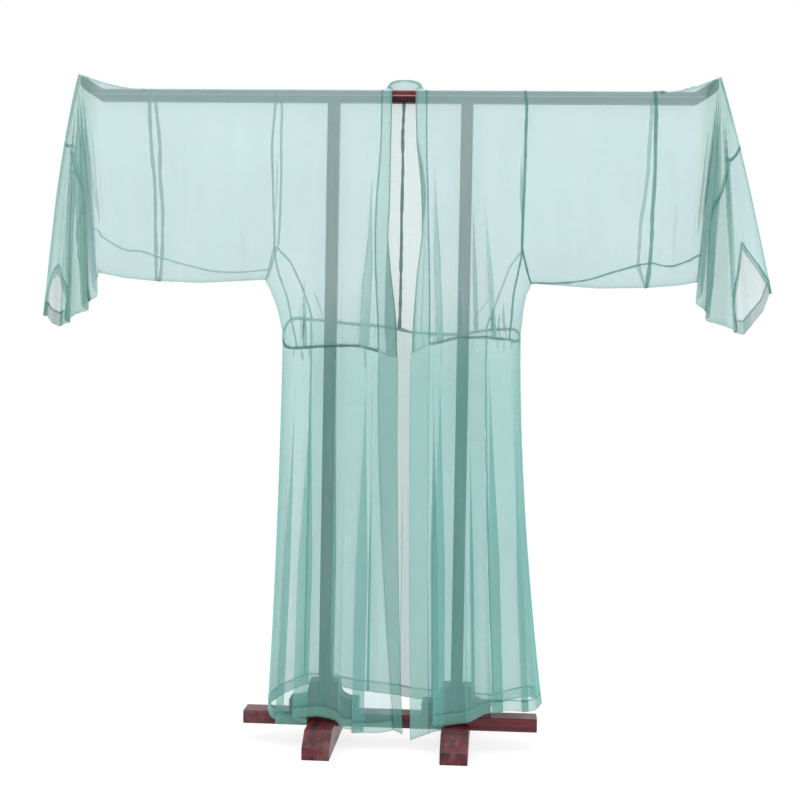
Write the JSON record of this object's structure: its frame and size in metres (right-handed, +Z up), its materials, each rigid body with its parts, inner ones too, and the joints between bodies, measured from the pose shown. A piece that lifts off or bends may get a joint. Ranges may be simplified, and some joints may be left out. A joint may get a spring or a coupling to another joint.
{
  "type": "hanfu robe on a wooden stand",
  "caption": "Sheer pale green silk robe with very long sleeves and an open front, hung by its sleeves over the upturned crossbar of a dark wooden garment stand.",
  "frame": {"origin": "middle of the footprint of the whole object, on the surface that the stand's feet rest on", "axes": "+X along the crossbar to the viewer's right as the open front is seen, +Y away from the viewer through the back of the robe, +Z up"},
  "size_m": [1.8312, 0.372, 1.686],
  "materials": {
    "silk_gauze": "sheer plain-woven silk gauze, soft satin sheen",
    "silk_band": "the same gauze laid double",
    "dark_wood": "satin varnish, dark red-brown"
  },
  "bodies": {
    "root": {"bodice_left": "silk_gauze", "bodice_right": "silk_gauze", "sleeve_inner_left": "silk_gauze", "sleeve_inner_right": "silk_gauze", "sleeve_middle_left": "silk_gauze", "sleeve_middle_right": "silk_gauze", "sleeve_outer_left": "silk_gauze", "sleeve_outer_right": "silk_gauze", "skirt_left": "silk_gauze", "skirt_right": "silk_gauze", "skirt_back": "silk_gauze", "gusset_left": "silk_gauze", "gusset_right": "silk_gauze", "collar_band": "silk_band", "cuff_left": "silk_band", "cuff_right": "silk_band", "hem_left": "silk_band", "hem_right": "silk_band", "hem_back": "silk_band", "front_band_left": "silk_band", "front_band_right": "silk_band", "crossbar": "dark_wood", "post_left": "dark_wood", "post_right": "dark_wood", "spandrel_left_outer": "dark_wood", "spandrel_left_inner": "dark_wood", "spandrel_right_outer": "dark_wood", "spandrel_right_inner": "dark_wood", "base_beam": "dark_wood", "foot_left": "dark_wood", "foot_right": "dark_wood"}
  },
  "joints": []
}
